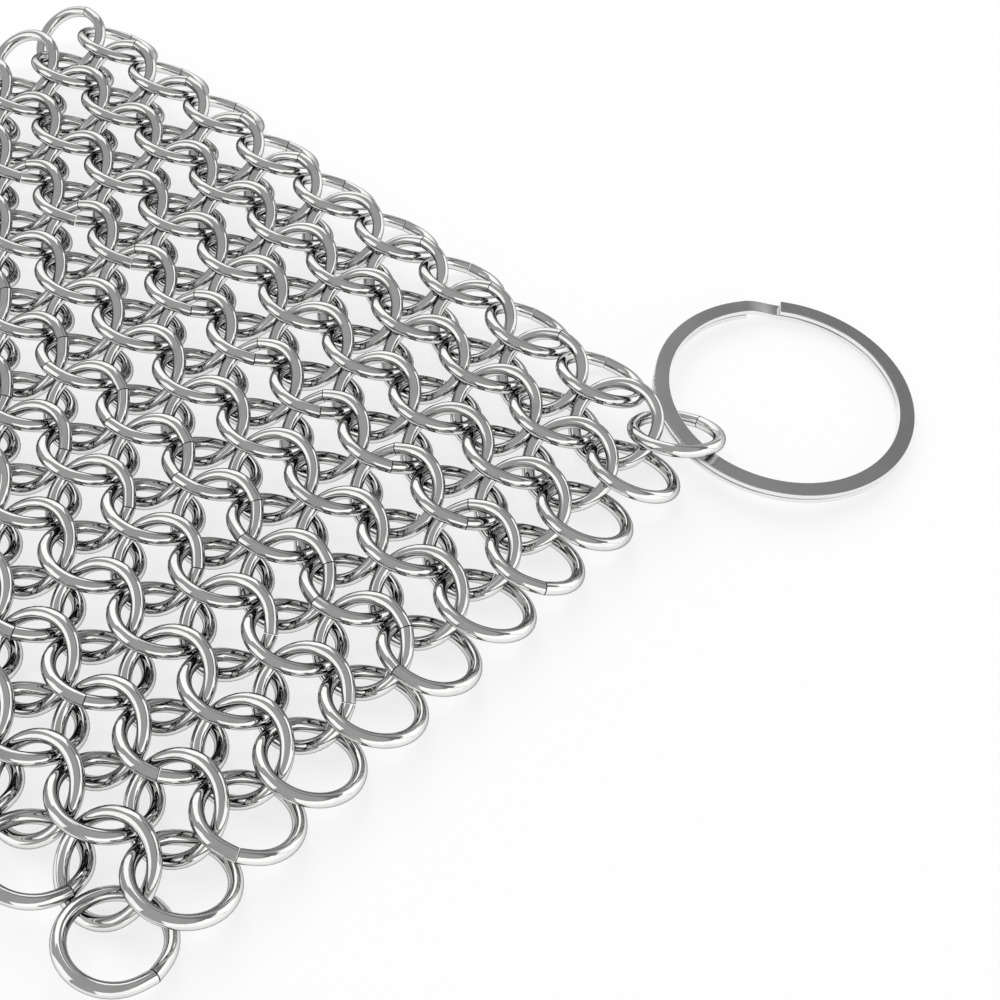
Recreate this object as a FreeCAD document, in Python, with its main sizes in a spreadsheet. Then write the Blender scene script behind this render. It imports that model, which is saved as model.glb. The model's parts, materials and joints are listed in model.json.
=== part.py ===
"""Chainmail pot scrubber: a four-in-one weave of steel links with a split ring to hang it by.

Frame: millimetres, +Z up. The scrubber lies flat on Z = 0, with the origin under the middle
of its box. Rows of links run along X and follow each other along Y. Row 1 is the edge at +Y,
where the split ring hangs from the corner link, and the last row is the edge at -Y.

Odd rows are cups: the half of each link that faces -Y is up. Even rows are arches: the half
that faces +Y is up. Every row is half a link pitch to the side of the last, so an inner link
passes through four others.
"""
import FreeCAD, Part
import math
import os

import Sketcher

SIZES = (
    ("link_bore", 9.2, "clear bore of a mail link"),
    ("wire", 1.6, "diameter of the round wire of every link"),
    ("side_gap", 0.1, "gap between neighbouring links of one row"),
    ("row_pitch", 4.4, "distance along Y from a row to the next"),
    ("lean", 28.0, "lean of the woven links out of the flat, degrees"),
    ("links_in_row", 10, "links in each row"),
    ("rows", 21, "rows in the sheet"),
    ("butt_gap", 0.12, "gap where the two ends of a bent link meet"),
    ("butt_step", 137.5, "turn of the butt joint from one row to the next, degrees"),
    ("corner_butt", 100.0, "turn of the butt joint of the link that carries the ring, degrees"),
    ("corner_lean", 22.6, "lean of the link that carries the split ring, degrees"),
    ("corner_roll", 16.3, "rise of that link's outer end, degrees"),
    ("corner_aside", 0.35, "shift of that link along X from its place in the weave"),
    ("corner_back", 0.57, "shift of that link towards the last row"),
    ("corner_lift", 0.33, "lift of that link above the middle of the sheet"),
    ("near_butt", 318.0, "turn of the butt joint of the loose link at the last row, degrees"),
    ("near_lean", 22.0, "lean of the loose link at the end of the last row, degrees"),
    ("near_out", 0.5, "shift of the loose link towards the first row"),
    ("ring_outer", 34.0, "outer diameter of the split ring"),
    ("strip_width", 2.1, "width of the flat strip of the split ring"),
    ("strip_thick", 0.7, "thickness of the strip"),
    ("strip_edge", 0.14, "radius of the strip's four edges"),
    ("turn_gap", 0.1, "gap between the two turns of the split ring"),
    ("joggle", 17.5, "angle over which the strip passes from turn to turn, degrees"),
    ("ring_bearing", 19.4, "direction from the corner link to the split ring, from +Y, degrees"),
    ("ring_reach", 0.56, "distance from the corner link's centre to the middle of the strip"),
    ("ring_drop", 0.4, "drop of the strip below the corner link's centre"),
    ("slit_bearing", 127.2, "place of the slit round the split ring, from +X, degrees"),
)

# Share of the joggle's length, and the share of its drop that is reached there: a smooth S.
JOGGLE_STATIONS = ((0.0, 0.0), (0.25, 0.16), (0.5, 0.5), (0.75, 0.84), (1.0, 1.0))

# Expressions that several pieces share.
LINK_RADIUS = "((sizes.link_bore + sizes.wire) / 2)"
LINK_OUTER = "(sizes.link_bore + 2 * sizes.wire)"
LINK_PITCH = f"({LINK_OUTER} + sizes.side_gap)"
BUTT_ANGLE = f"(360 * sizes.butt_gap / (pi * 2 * {LINK_RADIUS}))"
SHEET_MIDDLE = f"({LINK_RADIUS} * sin(sizes.lean * 1 deg) + sizes.wire / 2)"
SHEET_LENGTH = "((sizes.rows - 1) * sizes.row_pitch)"
STACK = "(2 * sizes.strip_thick + sizes.turn_gap)"
STRIP_RADIUS = "((sizes.ring_outer - sizes.strip_width) / 2)"
RING_REACH = f"({STRIP_RADIUS} + sizes.ring_reach)"
CORNER_HEIGHT = f"({SHEET_MIDDLE} + sizes.corner_lift)"
RING_TILT = (
    f"asin(({CORNER_HEIGHT} - sizes.ring_drop - {STACK} / 2)"
    f" / ({RING_REACH} + sizes.ring_outer / 2))"
)
RING_X = f"(sizes.corner_aside + {RING_REACH} * sin(sizes.ring_bearing * 1 deg))"
RING_Y = f"({RING_REACH} * cos(sizes.ring_bearing * 1 deg) - sizes.corner_back)"
RING_HEIGHT = f"(sizes.ring_outer / 2 * sin({RING_TILT}) + {STACK} / 2 * cos({RING_TILT}))"

# The corner of the weave, seen from the origin under the middle of the whole scrubber.
LEFT_REACH = f"((sizes.links_in_row - 0.5) * {LINK_PITCH} + {LINK_OUTER} / 2)"
RIGHT_REACH = f"({RING_X} + sizes.ring_outer / 2)"
FAR_REACH = f"({RING_Y} + sizes.ring_outer / 2)"
NEAR_REACH = f"({SHEET_LENGTH} + {LINK_RADIUS} * cos(sizes.lean * 1 deg) + sizes.wire / 2)"
CORNER_X = f"(({LEFT_REACH} - {RIGHT_REACH}) / 2)"
CORNER_Y = f"(({NEAR_REACH} - {FAR_REACH}) / 2)"

Z_AXIS = FreeCAD.Vector(0, 0, 1)


def make_sheet(doc):
    """Write the driving dimensions into a spreadsheet, one named cell each."""
    sheet = doc.addObject("Spreadsheet::Sheet", "sizes")
    for row, (name, value, note) in enumerate(SIZES, start=1):
        sheet.set(f"A{row}", name)
        sheet.set(f"B{row}", str(value))
        sheet.set(f"C{row}", note)
        sheet.setAlias(f"B{row}", name)
    doc.recompute()
    return sheet


def origin_feature(body, role):
    """Give the plane or axis of the body's own origin that has this role."""
    return next(item for item in body.Origin.OriginFeatures if item.Role == role)


def named_constraint(sketch, constraint, name, expression):
    """Add a dimension to a sketch and tie it to the driving dimensions."""
    index = sketch.addConstraint(constraint)
    sketch.renameConstraint(index, name)
    sketch.setExpression(f"Constraints.{name}", expression)


def upright_sketch(body, name, turn, rise="0"):
    """Start a sketch on a half plane through the body's Z axis, turned about it and raised."""
    sketch = body.newObject("Sketcher::SketchObject", name)
    sketch.AttachmentSupport = (origin_feature(body, "XZ_Plane"), [""])
    sketch.MapMode = "FlatFace"
    sketch.setExpression(
        "AttachmentOffset",
        f"placement(vector(0; {rise}; 0); rotation(vector(0; 1; 0); {turn}))",
    )
    return sketch


def wire_section(body, turn):
    """Draw the round section of a link's wire, at the link's mean radius."""
    sketch = upright_sketch(body, "wire_section", turn)
    start = FreeCAD.Vector(5, 0, 0)
    circle = sketch.addGeometry(Part.Circle(start, Z_AXIS, 1))
    sketch.addConstraint(Sketcher.Constraint("PointOnObject", circle, 3, -1))
    distance = Sketcher.Constraint("DistanceX", -1, 1, circle, 3, start.x)
    named_constraint(sketch, distance, "mean_radius", LINK_RADIUS)
    named_constraint(sketch, Sketcher.Constraint("Diameter", circle, 2), "wire", "sizes.wire")
    return sketch


def bend_link(body, turn):
    """Bend one link: the wire goes round the Z axis and stops just short of its own start."""
    link = body.newObject("PartDesign::Revolution", "link")
    link.Profile = wire_section(body, turn)
    link.ReferenceAxis = (link.Profile[0], ["V_Axis"])
    link.setExpression("Angle", f"360 - {BUTT_ANGLE}")
    body.Tip = link
    return link


def place(body, x, y, height, rotation):
    """Put a body at x and y from the weave's corner and at a height above the floor."""
    body.setExpression(
        "Placement",
        f"placement(vector({CORNER_X} + {x}; {CORNER_Y} + {y}; {height}); {rotation})",
    )


def turn_about(x, y, z, angle):
    """Write a rotation about one axis as an expression."""
    return f"rotation(vector({x}; {y}; {z}); {angle})"


def row_side(row):
    """Give 1 for a row of cups and -1 for a row of arches."""
    return 1 if row % 2 == 1 else -1


def row_stagger(row):
    """Give the shift of a row along X, in link pitches: arches sit half a pitch aside."""
    return (row_side(row) - 1) / 4


def make_row(doc, row, last_row):
    """Make one row of the weave: a link and its copies along X, all with the same lean."""
    body = doc.addObject("PartDesign::Body", f"weave_row_{row:02d}")
    body.AllowCompound = True
    link = bend_link(body, f"mod(sizes.butt_step * {row}; 360)")
    corner_apart = 1 if row in (1, last_row) else 0
    pattern = body.newObject("PartDesign::LinearPattern", "row_of_links")
    pattern.Originals = [link]
    pattern.Direction = (origin_feature(body, "X_Axis"), [""])
    pattern.setExpression("Length", f"(sizes.links_in_row - 1 - {corner_apart}) * {LINK_PITCH}")
    pattern.setExpression("Occurrences", f"sizes.links_in_row - {corner_apart}")
    body.Tip = pattern
    first_x = f"(1 - sizes.links_in_row + {row_stagger(row)}) * {LINK_PITCH}"
    row_y = f"{1 - row} * sizes.row_pitch"
    lean = turn_about(-row_side(row), 0, 0, "sizes.lean")
    place(body, first_x, row_y, SHEET_MIDDLE, lean)
    return body


def make_corner_link(doc):
    """Make the end link of row 1, which the split ring pulls askew."""
    body = doc.addObject("PartDesign::Body", "corner_link")
    bend_link(body, "sizes.corner_butt")
    askew = f"{turn_about(0, -1, 0, 'sizes.corner_roll')} * {turn_about(-1, 0, 0, 'sizes.corner_lean')}"
    place(body, "sizes.corner_aside", "(-sizes.corner_back)", CORNER_HEIGHT, askew)
    return body


def make_near_corner_link(doc, last_row):
    """Make the end link of the last row: only one link holds it, so it drops to the floor."""
    body = doc.addObject("PartDesign::Body", "near_corner_link")
    bend_link(body, "sizes.near_butt")
    height = f"({LINK_RADIUS} * sin(sizes.near_lean * 1 deg) + sizes.wire / 2)"
    row_y = f"(sizes.near_out - {SHEET_LENGTH})"
    side = row_side(last_row)
    lean = turn_about(-side, 0, 0, "sizes.near_lean")
    place(body, f"{row_stagger(last_row)} * {LINK_PITCH}", row_y, height, lean)
    return body


def strip_section(body, name, turn, rise):
    """Draw the strip's section: a flat bar with rounded edges, its middle at this rise."""
    sketch = upright_sketch(body, name, turn, rise)
    inner, outer, half, edge = 10.0, 12.0, 0.5, 0.2
    vector = FreeCAD.Vector
    quarter = math.pi / 2
    lines = (
        Part.LineSegment(vector(inner + edge, -half, 0), vector(outer - edge, -half, 0)),
        Part.LineSegment(vector(outer, edge - half, 0), vector(outer, half - edge, 0)),
        Part.LineSegment(vector(outer - edge, half, 0), vector(inner + edge, half, 0)),
        Part.LineSegment(vector(inner, half - edge, 0), vector(inner, edge - half, 0)),
    )
    centres = (
        vector(outer - edge, edge - half, 0),
        vector(outer - edge, half - edge, 0),
        vector(inner + edge, half - edge, 0),
        vector(inner + edge, edge - half, 0),
    )
    for line in lines:
        sketch.addGeometry(line)
    for index, centre in enumerate(centres):
        start = (index - 1) * quarter
        sketch.addGeometry(Part.ArcOfCircle(Part.Circle(centre, Z_AXIS, edge), start, start + quarter))
    for index in range(4):
        arc = 4 + index
        sketch.addConstraint(Sketcher.Constraint("Tangent", index, 2, arc, 1))
        sketch.addConstraint(Sketcher.Constraint("Tangent", arc, 2, (index + 1) % 4, 1))
    sketch.addConstraint(Sketcher.Constraint("Horizontal", 0))
    sketch.addConstraint(Sketcher.Constraint("Horizontal", 2))
    sketch.addConstraint(Sketcher.Constraint("Vertical", 3))
    for arc in (5, 6, 7):
        sketch.addConstraint(Sketcher.Constraint("Equal", 4, arc))
    sketch.addConstraint(Sketcher.Constraint("Symmetric", 1, 1, 1, 2, -1))
    dimensions = (
        (Sketcher.Constraint("Radius", 4, edge), "edge", "sizes.strip_edge"),
        (Sketcher.Constraint("DistanceX", -1, 1, 1, 1, outer), "outer", "sizes.ring_outer / 2"),
        (Sketcher.Constraint("DistanceX", 3, 1, 1, 1, outer - inner), "width", "sizes.strip_width"),
        (Sketcher.Constraint("DistanceY", 0, 1, 2, 1, 2 * half), "thick", "sizes.strip_thick"),
    )
    for constraint, label, expression in dimensions:
        named_constraint(sketch, constraint, label, expression)
    return sketch


def wind_strip(body, name, section, angle):
    """Wind the strip clockwise from this section, over this angle."""
    run = body.newObject("PartDesign::Revolution", name)
    run.Profile = section
    run.ReferenceAxis = (section, ["V_Axis"])
    run.Reversed = True
    run.setExpression("Angle", angle)
    body.Tip = run
    return run


def make_split_ring(doc):
    """Wind the split ring: an upper turn, the joggle and a lower turn of one flat strip."""
    body = doc.addObject("PartDesign::Body", "split_ring")
    turn_rise = "((sizes.strip_thick + sizes.turn_gap) / 2)"
    start = strip_section(body, "upper_section", "0", turn_rise)
    wind_strip(body, "upper_turn", start, "360 - sizes.joggle")
    stations = [
        strip_section(
            body,
            f"joggle_section_{index}",
            f"sizes.joggle * {1 - along}",
            f"{turn_rise} * {1 - 2 * dropped}",
        )
        for index, (along, dropped) in enumerate(JOGGLE_STATIONS)
    ]
    joggle = body.newObject("PartDesign::AdditiveLoft", "joggle")
    joggle.Profile = stations[0]
    joggle.Sections = stations[1:]
    body.Tip = joggle
    wind_strip(body, "lower_far_half", stations[-1], "180")
    # The far half of the underside stays a face of its own: the corner link goes under the rest.
    threaded = strip_section(body, "threaded_section", "180", f"-{turn_rise}")
    wind_strip(body, "lower_threaded_half", threaded, "180 - sizes.joggle").Refine = False
    bearing = "sizes.ring_bearing * 1 deg"
    tilt = turn_about(f"-cos({bearing})", f"sin({bearing})", 0, RING_TILT)
    spin = turn_about(0, 0, 1, "sizes.slit_bearing")
    place(body, RING_X, RING_Y, RING_HEIGHT, f"{tilt} * {spin}")
    return body


def check(doc, pieces):
    """Stop with a plain message if an object failed or a piece is not sound."""
    for item in doc.Objects:
        if "Invalid" in item.State or "Error" in item.State:
            raise RuntimeError(f"{item.Label} did not build: {item.State}")
    for piece in pieces:
        shape = piece.Shape
        if shape.isNull() or not shape.isValid() or not shape.Solids:
            raise RuntimeError(f"{piece.Label} is not a sound solid")


def main():
    """Build the scrubber and write each piece to its own file."""
    doc = FreeCAD.newDocument("pot_scrubber")
    sheet = make_sheet(doc)
    last_row = int(sheet.rows)
    pieces = [make_row(doc, row, last_row) for row in range(1, last_row + 1)]
    pieces.append(make_corner_link(doc))
    pieces.append(make_near_corner_link(doc, last_row))
    pieces.append(make_split_ring(doc))
    doc.recompute()
    check(doc, pieces)
    os.makedirs("parts", exist_ok=True)
    for piece in pieces:
        piece.Shape.exportStep(f"parts/{piece.Label}.step")
        print(piece.Label, len(piece.Shape.Solids), round(piece.Shape.Volume, 3))


main()
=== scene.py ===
"""Looks of the chainmail pot scrubber: its studio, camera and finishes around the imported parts.

Everything is in metres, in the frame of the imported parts: +Z is up and the scrubber lies on
Z = 0. The rows of links run along X, and the split ring hangs from the corner at +X, +Y.
"""

import json
import logging
import math
import random
from dataclasses import dataclass, field, replace
from enum import Enum
from typing import Any

import bpy
import numpy as np
from mathutils import Euler, Matrix, Vector

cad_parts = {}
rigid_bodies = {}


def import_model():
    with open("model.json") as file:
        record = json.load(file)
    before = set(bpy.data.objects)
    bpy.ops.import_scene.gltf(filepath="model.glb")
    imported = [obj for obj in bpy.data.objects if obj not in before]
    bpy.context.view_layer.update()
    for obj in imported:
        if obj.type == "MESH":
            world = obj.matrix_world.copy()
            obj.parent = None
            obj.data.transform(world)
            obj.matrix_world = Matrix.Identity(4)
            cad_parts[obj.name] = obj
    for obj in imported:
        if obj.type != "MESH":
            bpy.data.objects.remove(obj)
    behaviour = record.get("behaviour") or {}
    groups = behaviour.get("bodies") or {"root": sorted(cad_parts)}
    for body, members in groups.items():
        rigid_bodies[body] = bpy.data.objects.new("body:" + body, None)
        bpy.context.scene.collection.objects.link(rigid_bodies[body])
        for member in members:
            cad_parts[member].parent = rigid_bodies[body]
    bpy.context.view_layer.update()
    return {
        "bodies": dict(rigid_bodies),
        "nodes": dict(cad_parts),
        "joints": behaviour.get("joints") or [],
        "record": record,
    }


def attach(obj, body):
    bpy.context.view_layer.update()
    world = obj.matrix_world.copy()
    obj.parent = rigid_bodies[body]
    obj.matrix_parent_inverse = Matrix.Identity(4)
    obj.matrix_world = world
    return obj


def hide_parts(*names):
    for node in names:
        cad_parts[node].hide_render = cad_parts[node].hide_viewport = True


LOG = logging.getLogger("pot_scrubber")
MM = 0.001

Number = Any
Point = tuple[float, float, float]


def select_only(thing: bpy.types.Object) -> None:
    """Deselect everything, then select this object and make it the active one.

    Args:
        thing: The object that the next operators work on.
    """
    bpy.ops.object.select_all(action="DESELECT")
    thing.select_set(True)
    bpy.context.view_layer.objects.active = thing


class Ink:
    """A socket of a material that Python's operators turn into Math nodes."""

    def __init__(self, book: "FinishBook", socket: bpy.types.NodeSocket) -> None:
        """Wrap a socket.

        Args:
            book: The material's nodes.
            socket: The output socket that holds the value.
        """
        self.book = book
        self.socket = socket

    def _math(self, operation: str, first: Number, second: Number) -> "Ink":
        """Add a Math node on two values.

        Args:
            operation: The node's operation.
            first: A value or socket.
            second: A value or socket.

        Returns:
            The result.
        """
        node = self.book.node("ShaderNodeMath", {"operation": operation}, {0: first, 1: second})
        return Ink(self.book, node.outputs[0])

    def __add__(self, other: Number) -> "Ink":
        """Add."""
        return self._math("ADD", self, other)

    def __radd__(self, other: Number) -> "Ink":
        """Add to a number."""
        return self._math("ADD", other, self)

    def __sub__(self, other: Number) -> "Ink":
        """Subtract."""
        return self._math("SUBTRACT", self, other)

    def __rsub__(self, other: Number) -> "Ink":
        """Subtract from a number."""
        return self._math("SUBTRACT", other, self)

    def __mul__(self, other: Number) -> "Ink":
        """Multiply."""
        return self._math("MULTIPLY", self, other)

    def __rmul__(self, other: Number) -> "Ink":
        """Multiply a number."""
        return self._math("MULTIPLY", other, self)

    def __pow__(self, other: Number) -> "Ink":
        """Raise to a power."""
        return self._math("POWER", self, other)

    def size(self) -> "Ink":
        """Give the value without its sign."""
        return self._math("ABSOLUTE", self, 0.0)

    def at_least(self, other: Number) -> "Ink":
        """Give the larger of two values."""
        return self._math("MAXIMUM", self, other)

    def ramp(self, start: float, end: float) -> "Ink":
        """Pass smoothly from 0 to 1 as this value goes from start to end.

        Args:
            start: Where the change begins.
            end: Where it is over.

        Returns:
            The changed value.
        """
        settings = {"interpolation_type": "SMOOTHSTEP", "data_type": "FLOAT"}
        inputs = {"Value": self, "From Min": start, "From Max": end}
        node = self.book.node("ShaderNodeMapRange", settings, inputs)
        return Ink(self.book, node.outputs["Result"])


class FinishBook:
    """The nodes of one material."""

    def __init__(self, name: str) -> None:
        """Start an empty material.

        Args:
            name: The material's name.
        """
        self.material = bpy.data.materials.new(name)
        self.material.use_nodes = True
        self.tree = self.material.node_tree
        self.tree.nodes.clear()

    def node(
        self,
        kind: str,
        settings: dict[str, Any] | None = None,
        inputs: dict[int | str, Number] | None = None,
    ) -> bpy.types.Node:
        """Add one node, with its settings first and then its sockets.

        Args:
            kind: The node's type.
            settings: Its own settings, such as an operation.
            inputs: Values or links by the socket's name or number.

        Returns:
            The new node.
        """
        made = self.tree.nodes.new(kind)
        for name, value in (settings or {}).items():
            setattr(made, name, value)
        for key, value in (inputs or {}).items():
            if isinstance(value, Ink):
                self.tree.links.new(value.socket, made.inputs[key])
            elif isinstance(value, bpy.types.NodeSocket):
                self.tree.links.new(value, made.inputs[key])
            else:
                made.inputs[key].default_value = value
        return made

    def place(self, frame: Matrix | None = None) -> bpy.types.NodeSocket:
        """Give the place on the object, seen from the origin or from a frame of its own.

        Args:
            frame: Where the pattern's own origin and axes are.

        Returns:
            The socket that holds the place, in metres.
        """
        here = self.node("ShaderNodeTexCoord").outputs["Object"]
        if frame is None:
            return here
        turn = frame.to_euler()
        settings = {"vector_type": "TEXTURE"}
        inputs = {"Vector": here, "Location": frame.translation, "Rotation": turn}
        return self.node("ShaderNodeMapping", settings, inputs).outputs["Vector"]

    def parts(self, vector: bpy.types.NodeSocket) -> tuple[Ink, Ink, Ink]:
        """Split a vector into its three numbers.

        Args:
            vector: The socket that holds it.

        Returns:
            Its x, y and z.
        """
        split = self.node("ShaderNodeSeparateXYZ", {}, {"Vector": vector})
        return tuple(Ink(self, socket) for socket in split.outputs)

    def noise(self, vector: Number, scale: float, detail: float = 2.0) -> Ink:
        """Add a noise of this many bumps a metre.

        Args:
            vector: The place it is read at.
            scale: Bumps in a metre.
            detail: Finer layers.

        Returns:
            The noise, from 0 to 1.
        """
        inputs = {"Vector": vector, "Scale": scale, "Detail": detail}
        return Ink(self, self.node("ShaderNodeTexNoise", {}, inputs).outputs[0])

    def grey(self, value: Number, warmth: float = 0.0) -> bpy.types.NodeSocket:
        """Make a grey of this brightness.

        Args:
            value: The brightness.
            warmth: How much redder than blue it is.

        Returns:
            The colour's socket.
        """
        inputs = {0: value * (1 + warmth), 1: value, 2: value * (1 - warmth)}
        return self.node("ShaderNodeCombineColor", {}, inputs).outputs[0]

    def bump(self, height: Ink, depth: float, strength: float) -> bpy.types.NodeSocket:
        """Make a bumped normal.

        Args:
            height: The height, from 0 to 1.
            depth: How deep the relief is, in metres.
            strength: How much of it shows.

        Returns:
            The normal's socket.
        """
        inputs = {"Height": height, "Distance": depth, "Strength": strength}
        return self.node("ShaderNodeBump", {}, inputs).outputs["Normal"]

    def close(self, shader: bpy.types.Node) -> bpy.types.Material:
        """Lead the finished shader to the surface.

        Args:
            shader: The last shader node.

        Returns:
            The material.
        """
        self.node("ShaderNodeOutputMaterial", {}, {"Surface": shader.outputs[0]})
        return self.material


@dataclass(frozen=True)
class MirrorWire:
    """Bright-drawn steel wire, polished until it mirrors the room.

    Patches, waves and hairlines are in bumps a metre. Painted shade: the colour of a mirror image
    darkens with each further bounce between the links, and has lost its painted share after the
    last one.
    """

    colour: float = 0.85
    worn_colour: float = 0.76
    warmth: float = 0.004
    # Share of the colour taken away as painted shade in the deepest mirror images.
    painted_bounce_shade: float = 0.97
    last_bounce: float = 2.3
    edge_tint: float = 0.2
    dull: float = 0.035
    duller: float = 0.10
    patches: float = 260.0
    worn_range: tuple[float, float] = (0.45, 0.75)
    waves: float = 900.0
    hairlines: float = 5200.0
    hair_share: float = 0.08
    relief: float = 0.012 * MM
    relief_shown: float = 0.35

    def make(self) -> bpy.types.Material:
        """Build the material.

        Returns:
            The wire's material.
        """
        book = FinishBook("mirror_wire")
        here = book.place()
        patch = book.noise(here, self.patches, detail=3.0)
        wave = book.noise(here, self.waves, detail=1.0)
        hair = book.noise(here, self.hairlines, detail=1.0)
        worn = patch.ramp(*self.worn_range)
        # Painted shade: the colour darkens with the glossy bounce depth, so steel seen in the
        # mirror image of other links comes out darker.
        deep = Ink(book, book.node("ShaderNodeLightPath").outputs["Glossy Depth"])
        bright = self.colour + (self.worn_colour - self.colour) * worn
        bright = bright * (1 - self.painted_bounce_shade * deep.ramp(0.0, self.last_bounce))
        height = wave + self.hair_share * hair
        principled = book.node(
            "ShaderNodeBsdfPrincipled",
            {},
            {
                "Base Color": book.grey(bright, self.warmth),
                "Metallic": 1.0,
                "Roughness": self.dull + (self.duller - self.dull) * worn,
                "Specular Tint": (self.edge_tint,) * 3 + (1.0,),
                "Normal": book.bump(height, self.relief, self.relief_shown),
            },
        )
        return book.close(principled)


@dataclass(frozen=True)
class SeamShadedCutEnd:
    """The cropped ends of the wire, left dull where they meet, with a grain in bumps a metre, and
    coloured near black as painted shade of the seam.
    """

    # Painted shade: the ends are coloured near black for the shade in the narrow seam; the grain
    # below is their own.
    colour: float = 0.10
    darkest: float = 0.6
    grain_tone: float = 0.8
    roughness: float = 0.55
    grain_roughness: float = 0.2
    grains: float = 9000.0

    def make(self) -> bpy.types.Material:
        """Build the material.

        Returns:
            The material of the wire's ends.
        """
        book = FinishBook("cut_end_seam_shade")
        grain = book.noise(book.place(), self.grains)
        principled = book.node(
            "ShaderNodeBsdfPrincipled",
            {},
            {
                "Base Color": book.grey(self.colour * (self.darkest + self.grain_tone * grain)),
                "Metallic": 1.0,
                "Roughness": self.roughness + self.grain_roughness * (grain - 0.5),
            },
        )
        return book.close(principled)


@dataclass(frozen=True)
class SatinStrip:
    """Flat steel strip with a satin face and edges rubbed glossy, their colour lighter as a
    painted highlight.

    Patches and drawn lines are in bumps a metre. The edge begins at a share of the half width.
    """

    frame: Matrix
    middle_radius: float
    width: float
    colour: float = 0.78
    # Painted highlight: the lighter colour of the strip's edges.
    painted_edge_highlight: float = 0.86
    edge_start: float = 0.82
    patches: float = 180.0
    patch_tone: float = 0.06
    lines: float = 9000.0
    line_tone: float = 0.05
    dull: float = 0.17
    edge_polish: float = 0.06
    patch_dullness: float = 0.07
    relief: float = 0.004 * MM
    relief_shown: float = 0.3

    def make(self) -> bpy.types.Material:
        """Build the material.

        Returns:
            The strip's material.
        """
        book = FinishBook("satin_strip")
        here = book.place(self.frame)
        x, y, z = book.parts(here)
        radius = (x * x + y * y) ** 0.5
        aside = (radius - self.middle_radius).size() * (2 / self.width)
        edge = aside.ramp(self.edge_start, 1.0)
        patch = book.noise(here, self.patches, detail=3.0)
        across = book.node("ShaderNodeCombineXYZ", {}, {0: radius, 1: z}).outputs[0]
        drawn = book.noise(across, self.lines)
        # Painted highlight: the colour grows lighter towards the strip's edges. The lower
        # roughness there is the edges' rubbed polish.
        bright = self.colour + (self.painted_edge_highlight - self.colour) * edge
        bright = bright + self.patch_tone * (patch - 0.5)
        principled = book.node(
            "ShaderNodeBsdfPrincipled",
            {},
            {
                "Base Color": book.grey(bright + self.line_tone * (drawn - 0.5)),
                "Metallic": 1.0,
                "Roughness": self.dull - self.edge_polish * edge + self.patch_dullness * patch,
                "Normal": book.bump(drawn, self.relief, self.relief_shown),
            },
        )
        return book.close(principled)


@dataclass(frozen=True)
class WhiteFloor:
    """Matt white surface that keeps the soft shadow of what lies on it."""

    shade: float = 0.30
    lift: float = 0.71

    def make(self) -> bpy.types.Material:
        """Build the material.

        Returns:
            The floor's material.
        """
        book = FinishBook("white_floor")
        rays = book.node("ShaderNodeLightPath").outputs
        seen = Ink(book, rays["Is Camera Ray"])
        seen = seen.at_least(Ink(book, rays["Is Glossy Ray"]))
        seen = seen.at_least(Ink(book, rays["Is Transmission Ray"]))
        matt = book.node("ShaderNodeBsdfDiffuse", {}, {"Color": (self.shade,) * 3 + (1.0,)})
        glow = book.node("ShaderNodeEmission", {}, {"Strength": seen * self.lift})
        both = book.node("ShaderNodeAddShader", {}, {0: matt.outputs[0], 1: glow.outputs[0]})
        return book.close(both)


@dataclass(frozen=True)
class WallCard:
    """A white card that stands round the table, lit evenly.

    The bearing and half width are in degrees, as is the height of its top over the table.
    """

    bearing: float
    half_width: float
    top: float
    strength: float


@dataclass(frozen=True)
class StudioCloth:
    """Grey cloth over the table, with white cards before it that the bright steel mirrors.

    A darker band hangs on one side. Bearings are in degrees, as is what a card's sides and top
    take to fade. The band's sides are cosines of the bearing away from its own, and its foot and
    top are sines of heights over the table. Overhead keeps the bearing's divisor above zero.
    """

    grey: float = 0.363
    band_grey: float = 0.17
    band_bearing: float = 75.0
    band_sides: tuple[float, float] = (0.6, 0.85)
    band_foot: tuple[float, float] = (0.50, 0.57)
    band_top: tuple[float, float] = (0.66, 0.77)
    side_fade: float = 3.0
    top_fade: float = 2.0
    card_edge: float = 0.6
    overhead: float = 0.0001
    cards: tuple[WallCard, ...] = (
        WallCard(149.0, 29.0, 49.0, 1.18),
        WallCard(-120.0, 22.0, 52.0, 1.10),
        WallCard(-7.0, 53.0, 38.0, 1.18),
        WallCard(70.0, 25.0, 32.0, 1.18),
    )

    def make(self) -> bpy.types.Material:
        """Build the material.

        Returns:
            The cloth's material.
        """
        book = FinishBook("studio_cloth")
        here = book.place()
        unit = book.node("ShaderNodeVectorMath", {"operation": "NORMALIZE"}, {0: here})
        x, y, z = book.parts(unit.outputs["Vector"])
        nearer = (x * x + y * y).at_least(self.overhead) ** -0.5
        angle = math.radians(self.band_bearing)
        facing = (x * math.cos(angle) + y * math.sin(angle)) * nearer
        band = z.ramp(*self.band_foot) - z.ramp(*self.band_top)
        level = self.grey + (self.band_grey - self.grey) * facing.ramp(*self.band_sides) * band
        for card in self.cards:
            angle = math.radians(card.bearing)
            facing = (x * math.cos(angle) + y * math.sin(angle)) * nearer
            outside = math.cos(math.radians(card.half_width + self.side_fade))
            inside = math.cos(math.radians(card.half_width - self.side_fade))
            low = math.sin(math.radians(card.top - self.top_fade))
            high = math.sin(math.radians(card.top + self.top_fade))
            mask = facing.ramp(outside, inside) * (1 - z.ramp(low, high))
            fold = 1 - 4 * self.card_edge * mask * (1 - mask)
            level = (level + (card.strength - level) * mask) * fold
        glow = book.node("ShaderNodeEmission", {}, {"Color": book.grey(level), "Strength": 1.0})
        return book.close(glow)


class Seen(Enum):
    """Whether the camera sees a piece of the studio, or only its mirror image shows."""

    BY_ALL = "by all"
    IN_MIRRORS = "in mirrors"


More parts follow.
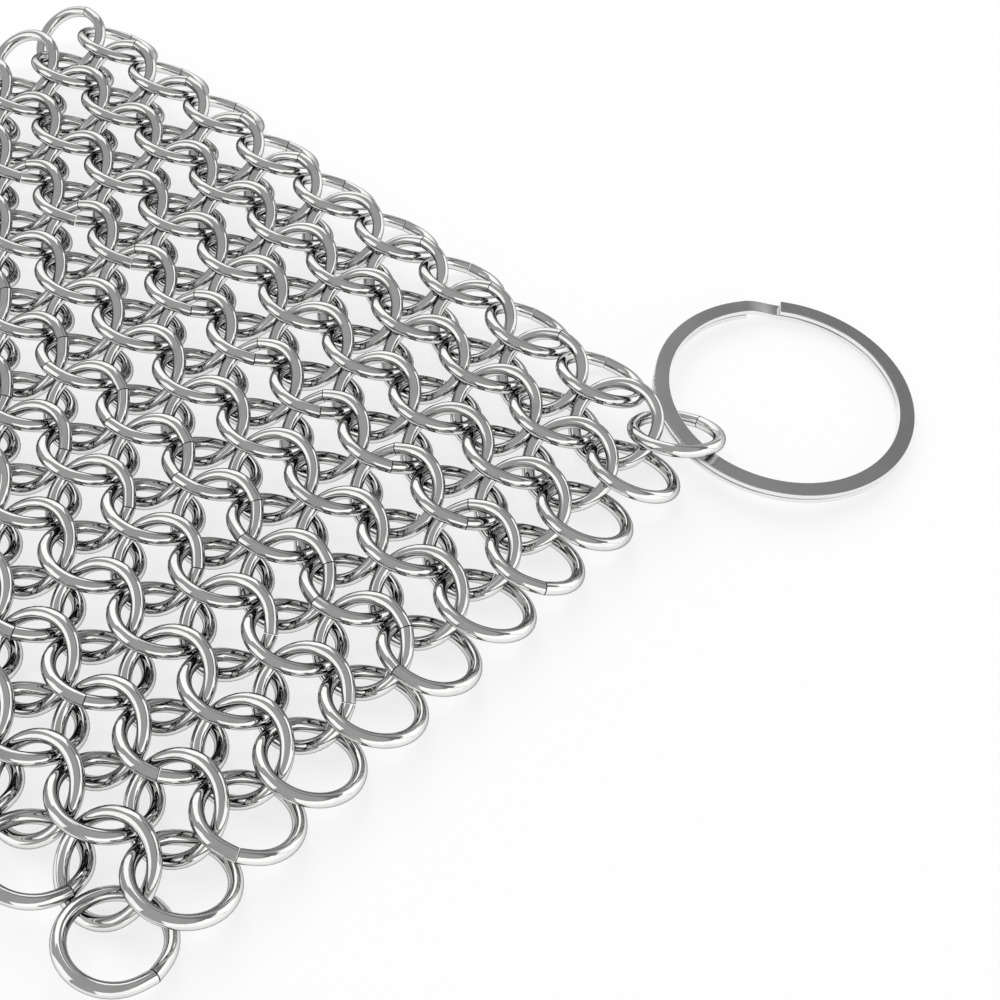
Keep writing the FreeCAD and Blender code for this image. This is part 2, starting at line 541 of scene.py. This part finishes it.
@dataclass(frozen=True)
class Studio:
    """White table in a round of grey cloth and white cards, under one broad lamp."""

    floor_radius: float = 4.0
    floor_corners: int = 96
    cloth_radius: float = 3.96
    cloth_segments: int = 96
    cloth_rings: int = 64
    cloth_foot: float = 1.0 * MM
    lamp_bearing: float = math.radians(147.0)
    lamp_height: float = math.radians(55.0)
    lamp_away: float = 2.5
    lamp_size: float = 2.6
    lamp_power: float = 38.0

    def build(self) -> None:
        """Lay the floor, hang the cloth and light the room."""
        self._lay_floor()
        self._hang_cloth()
        self._hang_lamp()
        self._light_room()

    @staticmethod
    def _keep(piece: bpy.types.Object, name: str, seen: Seen) -> None:
        """Name a piece of the studio, set whether the camera sees it and log it.

        Args:
            piece: The piece.
            name: Its name.
            seen: Whether the camera sees it.
        """
        piece.name = name
        piece.visible_camera = seen is Seen.BY_ALL
        LOG.info("studio piece %s", name)

    def _lay_floor(self) -> None:
        """Lay the white table top."""
        bpy.ops.object.select_all(action="DESELECT")
        bpy.ops.mesh.primitive_circle_add(
            vertices=self.floor_corners, radius=self.floor_radius, fill_type="NGON"
        )
        floor = bpy.context.object
        floor.data.materials.append(WhiteFloor().make())
        self._keep(floor, "floor", Seen.BY_ALL)

    def _hang_cloth(self) -> None:
        """Hang the cloth: half a sphere over the table."""
        bpy.ops.object.select_all(action="DESELECT")
        bpy.ops.mesh.primitive_uv_sphere_add(
            segments=self.cloth_segments, ring_count=self.cloth_rings, radius=self.cloth_radius
        )
        dome = bpy.context.object
        bpy.ops.object.mode_set(mode="EDIT")
        bpy.ops.mesh.select_all(action="SELECT")
        foot = (0, 0, self.cloth_foot)
        bpy.ops.mesh.bisect(plane_co=foot, plane_no=(0, 0, 1), clear_inner=True)
        bpy.ops.object.mode_set(mode="OBJECT")
        bpy.ops.object.shade_smooth()
        dome.data.materials.append(StudioCloth().make())
        self._keep(dome, "studio_cloth", Seen.IN_MIRRORS)

    def _hang_lamp(self) -> None:
        """Hang the broad lamp, turned to the table."""
        flat = self.lamp_away * math.cos(self.lamp_height)
        place = Vector(
            (
                flat * math.cos(self.lamp_bearing),
                flat * math.sin(self.lamp_bearing),
                self.lamp_away * math.sin(self.lamp_height),
            )
        )
        data = bpy.data.lights.new("broad_lamp", "AREA")
        data.shape = "SQUARE"
        data.size = self.lamp_size
        data.energy = self.lamp_power
        lamp = bpy.data.objects.new("broad_lamp", data)
        lamp.location = place
        lamp.rotation_euler = place.to_track_quat("Z", "Y").to_euler()
        lamp.visible_glossy = False
        bpy.context.scene.collection.objects.link(lamp)

    @staticmethod
    def _light_room() -> None:
        """Make the room around the cloth plain white."""
        room = bpy.data.worlds.new("pale_room")
        bpy.context.scene.world = room
        room.use_nodes = True
        back = room.node_tree.nodes["Background"]
        back.inputs["Color"].default_value = (1.0, 1.0, 1.0, 1.0)
        back.inputs["Strength"].default_value = 1.0


@dataclass(frozen=True)
class PhotographCamera:
    """The camera that took the reference picture: close above the near corner."""

    place: Point = (0.1062324, -0.0640900, 0.1359790)
    turn: Point = (35.9001, -0.9448, 42.9147)
    lens: float = 48.94
    film: float = 36.0
    shift: tuple[float, float] = (-0.0012, 0.0002)
    nearest: float = 0.01

    def build(self) -> None:
        """Set the camera up and look through it."""
        data = bpy.data.cameras.new("photograph")
        data.lens = self.lens
        data.sensor_width = self.film
        data.shift_x, data.shift_y = self.shift
        data.clip_start = self.nearest
        data.dof.use_dof = False
        camera = bpy.data.objects.new("photograph", data)
        camera.location = self.place
        camera.rotation_euler = Euler([math.radians(angle) for angle in self.turn])
        bpy.context.scene.collection.objects.link(camera)
        bpy.context.scene.camera = camera


def dress(node: bpy.types.Object, material: bpy.types.Material) -> None:
    """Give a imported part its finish.

    Args:
        node: The part.
        material: The finish.
    """
    node.data.materials.clear()
    node.data.materials.append(material)
    LOG.info("dressed %s with %s", node.name, material.name)


def spline_keep(corners: int) -> float:
    """Give how much of its radius a Subdivision Surface leaves to a ring of corners.

    Args:
        corners: The number of corners.

    Returns:
        The radius it leaves, as a share of the corners' own.
    """
    return (2 + math.cos(math.tau / corners)) / 3


@dataclass
class WireLink:
    """One link of mail: a round wire bent to a ring until its two ends meet at a seam."""

    bore: float = 9.2 * MM
    wire: float = 1.6 * MM
    seam: float = 0.12 * MM
    sides: int = 8
    steps: int = 12
    smoothing: int = 2

    @property
    def middle_radius(self) -> float:
        """The radius that the middle of the wire is bent to."""
        return (self.bore + self.wire) / 2

    def build(self, finish: bpy.types.Material, end: bpy.types.Material) -> bpy.types.Object:
        """Bend the link round the origin's Z axis, with its seam at +X.

        Args:
            finish: The wire's finish.
            end: The finish of its cropped ends, coloured near black as painted seam shade.

        Returns:
            The link.
        """
        radius = self.middle_radius
        start = math.asin(self.seam / 2 / radius)
        around = spline_keep(self.steps)
        thick = self.wire / 2 / spline_keep(self.sides)
        bpy.ops.object.select_all(action="DESELECT")
        bpy.ops.mesh.primitive_circle_add(
            vertices=self.sides,
            radius=thick,
            fill_type="NGON",
            location=(radius / around * math.cos(start), radius / around * math.sin(start), 0),
            rotation=(math.pi / 2, 0, start),
        )
        link = bpy.context.object
        link.name = "wire_link"
        link.scale.x = 1 / around
        bpy.ops.object.transform_apply(location=True, rotation=True, scale=True)
        bpy.ops.object.mode_set(mode="EDIT")
        bpy.ops.mesh.select_mode(type="FACE")
        bpy.ops.mesh.select_all(action="SELECT")
        bpy.ops.mesh.spin(
            steps=self.steps, angle=math.tau - 2 * start, center=(0, 0, 0), axis=(0, 0, 1)
        )
        bpy.ops.mesh.select_all(action="SELECT")
        bpy.ops.mesh.normals_make_consistent(inside=False)
        bpy.ops.mesh.select_all(action="DESELECT")
        bpy.ops.object.mode_set(mode="OBJECT")
        link.data.materials.append(finish)
        link.data.materials.append(end)
        for face in link.data.polygons:
            face.select = len(face.vertices) == self.sides
        bpy.ops.object.mode_set(mode="EDIT")
        bpy.ops.transform.resize(value=(around, around, 1), center_override=(0, 0, 0))
        bpy.ops.mesh.mark_sharp()
        bpy.ops.transform.edge_crease(value=1.0)
        link.active_material_index = 1
        bpy.ops.object.material_slot_assign()
        bpy.ops.object.mode_set(mode="OBJECT")
        bpy.ops.object.shade_smooth()
        return link


Spot = tuple[int, int]
HANGING_CORNER: Spot = (1, 0)
NEAR_CORNER: Spot = (21, 0)


@dataclass(frozen=True)
class Lie:
    """How one link lies: its slip from its even place, its turn about X and Y, and its seam."""

    along: float = 0.0
    across: float = 0.0
    up: float = 0.0
    turn_x: float = 0.0
    turn_y: float = 0.0
    seam: float = 0.0


@dataclass
class Weave:
    """The sheet of mail: rows of leaning links, each lying a little its own way.

    Odd rows lean one way and even rows the other. Each link slips and turns by chance as far as
    its neighbours leave it room, with the sheet flat and with it bent as far as its rows bend.
    A row's links have their seams alike, as the wire came off the mandrel, with a bearing and a
    spread in degrees. The few links that find no room stay even, with their seam at +X.
    """

    corner: Point = (51.058 * MM, 30.783 * MM, 3.335 * MM)
    side_pitch: float = 12.5 * MM
    row_pitch: float = 4.4 * MM
    lean: float = math.radians(28.0)
    bend: float = math.radians(14.0)
    rows: int = 21
    links_across: int = 10
    link: WireLink = field(default_factory=WireLink)
    slip_along: float = 0.35 * MM
    slip_across: float = 0.60 * MM
    turn: float = math.radians(6.0)
    room: float = 0.06 * MM
    rise: float = 0.08 * MM
    sweeps: int = 2
    tries: int = 6
    points: int = 56
    reach: float = 13 * MM
    reach_rows: int = 3
    bent_rows: tuple[int, int] = (1, 2)
    seed: int = 11
    seams: dict[int, float] = field(
        default_factory=lambda: {2: 100, 7: 318, 8: 130, 11: 266, 12: 55, 14: 29, 17: 305, 21: 3}
    )
    hidden_seams: tuple[float, float] = (243, 118)
    seam_spread: float = 5.0
    corner_lies: dict[Spot, Lie] = field(
        default_factory=lambda: {
            HANGING_CORNER: Lie(
                along=0.35 * MM,
                across=-0.57 * MM,
                up=0.33 * MM,
                turn_x=math.radians(5.6),
                turn_y=math.radians(-17.1),
                seam=math.radians(96),
            ),
            NEAR_CORNER: Lie(
                across=0.5 * MM, up=-0.51 * MM, turn_x=math.radians(6.0), seam=math.radians(3)
            ),
        }
    )
    corner_names: dict[Spot, str] = field(
        default_factory=lambda: {HANGING_CORNER: "corner_link", NEAR_CORNER: "near_corner_link"}
    )

    def build(self) -> None:
        """Model every row and the two corner links."""
        pattern = self.link.build(MirrorWire().make(), SeamShadedCutEnd().make())
        lies = self._lay_out()
        for row in range(1, self.rows + 1):
            spots = [spot for spot in lies if spot[0] == row and spot not in self.corner_lies]
            links = [self._place_link(spot, lies[spot], pattern) for spot in spots]
            self._make_piece(links, f"links_row_{row:02d}", f"weave_row_{row:02d}")
        for spot, node in self.corner_names.items():
            link = self._place_link(spot, lies[spot], pattern)
            self._make_piece([link], f"bent_{node}", node)
        bpy.data.objects.remove(pattern)

    def _lay_out(self) -> dict[Spot, Lie]:
        """Let every link slip and turn by chance as far as its neighbours leave it room.

        Returns:
            How each link lies, by its row and its place in the row.
        """
        chance = random.Random(self.seed)
        places = range(self.links_across)
        lies = {(row, place): Lie() for row in range(1, self.rows + 1) for place in places}
        lies.update(self.corner_lies)
        circles = {spot: self._circle(spot, lie) for spot, lie in lies.items()}
        for _ in range(self.sweeps):
            for spot in lies:
                if spot in self.corner_lies:
                    continue
                near = self._stances(spot, circles)
                for size in range(self.tries, 0, -1):
                    lie = self._chance_lie(spot, chance, size / self.tries)
                    circle = self._circle(spot, lie)
                    if lie.up < self.rise and self._is_clear(circle, near):
                        lies[spot] = lie
                        circles[spot] = circle
                        break
        LOG.info("laid %d links", len(lies))
        return lies

    def _chance_lie(self, spot: Spot, chance: random.Random, size: float) -> Lie:
        """Draw how a link may lie.

        Args:
            spot: Its row and its place in the row.
            chance: The source of chance.
            size: How much of its full play it may use.

        Returns:
            The lie, with the link resting on the table.
        """
        along, across, turn_x, turn_y = (chance.uniform(-size, size) for _ in range(4))
        bearing = self.seams.get(spot[0], self.hidden_seams[spot[0] % 2])
        lie = Lie(
            along=along * self.slip_along,
            across=across * self.slip_across,
            turn_x=turn_x * self.turn,
            turn_y=turn_y * self.turn,
            seam=math.radians(bearing + self.seam_spread * along),
        )
        upright = self._pose(spot, lie)[2][2]
        steeper = math.sqrt(1 - upright**2) - math.sin(self.lean)
        return replace(lie, up=self.link.middle_radius * steeper)

    def _pose(self, spot: Spot, lie: Lie) -> Matrix:
        """Work out a link's place in the sheet.

        Args:
            spot: Its row and its place in the row.
            lie: How it lies.

        Returns:
            The place of a link that was bent round the origin.
        """
        row, place = spot
        odd = row % 2 == 1
        x = self.corner[0] - self.side_pitch * (place if odd else place + 0.5) + lie.along
        y = self.corner[1] - self.row_pitch * (row - 1) + lie.across
        return (
            Matrix.Translation((x, y, self.corner[2] + lie.up))
            @ Matrix.Rotation(lie.turn_x, 4, "X")
            @ Matrix.Rotation(lie.turn_y, 4, "Y")
            @ Matrix.Rotation(-self.lean if odd else self.lean, 4, "X")
            @ Matrix.Rotation(lie.seam, 4, "Z")
        )

    def _circle(self, spot: Spot, lie: Lie) -> np.ndarray:
        """Find points along the middle of a link's wire.

        Args:
            spot: Its row and its place in the row.
            lie: How it lies.

        Returns:
            The points, a row of the array each.
        """
        angle = np.linspace(0, math.tau, self.points, endpoint=False)
        flat = np.stack([np.cos(angle), np.sin(angle), 0 * angle], 1)
        pose = np.array(self._pose(spot, lie))
        return self.link.middle_radius * flat @ pose[:3, :3].T + pose[:3, 3]

    def _stances(self, spot: Spot, circles: dict[Spot, np.ndarray]) -> np.ndarray:
        """Collect where a link's neighbours lie beside it, with the sheet flat and bent.

        Args:
            spot: The link's row and its place in the row.
            circles: Every link's points.

        Returns:
            The points of each neighbour in each stance.
        """
        centre = circles[spot].mean(0)
        found = []
        for other, circle in circles.items():
            away = abs(other[0] - spot[0])
            if other == spot or away > self.reach_rows:
                continue
            if np.ptp([circle.mean(0), centre], 0).max() > self.reach:
                continue
            found.append(circle)
            for angle in (-self.bend, self.bend) if away in self.bent_rows else ():
                swung = circle
                for low in range(max(other[0], spot[0]) - 1, min(other[0], spot[0]) - 1, -1):
                    found.append(self._hinged(circle, low, angle))
                    swung = self._hinged(swung, low, angle)
                found.append(swung)
        return np.array(found)

    def _hinged(self, circle: np.ndarray, low: int, angle: float) -> np.ndarray:
        """Swing points about the line that a row and the next one bend at.

        Args:
            circle: The points.
            low: The number of the first of the two rows.
            angle: How far they bend.

        Returns:
            The swung points.
        """
        side = 1 if low % 2 == 1 else -1
        y = self.corner[1] - (low - 0.5) * self.row_pitch
        z = self.corner[2] + side * self.row_pitch / 2 * math.tan(self.lean)
        swing = np.array(Matrix.Rotation(angle, 3, "X"))
        return (circle - (0, y, z)) @ swing.T + (0, y, z)

    def _is_clear(self, circle: np.ndarray, near: np.ndarray) -> bool:
        """Tell whether a link's wire keeps its room from all the others.

        Args:
            circle: The link's points.
            near: The points of each neighbour in each stance.

        Returns:
            Whether it keeps its room.
        """
        apart = ((circle[None, :, None] - near[:, None]) ** 2).sum(3).min()
        return float(apart) > (self.link.wire + self.room) ** 2

    def _place_link(self, spot: Spot, lie: Lie, pattern: bpy.types.Object) -> bpy.types.Object:
        """Copy the link to its place in the sheet.

        Args:
            spot: Its row and its place in the row.
            lie: How it lies.
            pattern: The link it is copied from.

        Returns:
            The copy.
        """
        link = pattern.copy()
        link.data = pattern.data.copy()
        bpy.context.scene.collection.objects.link(link)
        link.matrix_world = self._pose(spot, lie)
        return link

    def _make_piece(self, links: list[bpy.types.Object], name: str, node: str) -> None:
        """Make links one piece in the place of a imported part.

        Args:
            links: The links, as they lie.
            name: The piece's name.
            node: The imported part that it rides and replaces.
        """
        select_only(links[0])
        for link in links:
            link.select_set(True)
        bpy.ops.object.transform_apply(location=True, rotation=True, scale=True)
        if len(links) > 1:
            bpy.ops.object.join()
        piece = bpy.context.object
        piece.name = name
        piece.data.name = name
        bpy.ops.object.modifier_add(type="SUBSURF")
        piece.modifiers[0].levels = self.link.smoothing
        piece.modifiers[0].render_levels = self.link.smoothing
        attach(piece, node)
        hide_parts(node)
        LOG.info("%s: %d links, replaces %s", name, len(links), node)


@dataclass
class SplitRing:
    """The two-turn ring of flat strip that hangs from the corner link."""

    centre: Point = (56.892 * MM, 45.785 * MM, 2.024 * MM)
    bearing: float = math.radians(19.4)
    tilt: float = math.radians(4.3045)
    outer: float = 34.0 * MM
    width: float = 2.1 * MM

    def build(self, nodes: dict[str, bpy.types.Object]) -> None:
        """Dress the ring.

        Args:
            nodes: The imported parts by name.
        """
        axis = Vector((-math.cos(self.bearing), math.sin(self.bearing), 0))
        frame = Matrix.Translation(self.centre) @ Matrix.Rotation(self.tilt, 4, axis)
        finish = SatinStrip(frame, (self.outer - self.width) / 2, self.width)
        dress(nodes["split_ring"], finish.make())


def main() -> None:
    """Build the studio and dress the scrubber."""
    logging.basicConfig(level=logging.INFO, format="%(message)s")
    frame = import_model()
    scene = bpy.context.scene
    scene.view_settings.view_transform = "Standard"
    PhotographCamera().build()
    Studio().build()
    Weave().build()
    SplitRing().build(frame["nodes"])


if __name__ == "__main__":
    main()
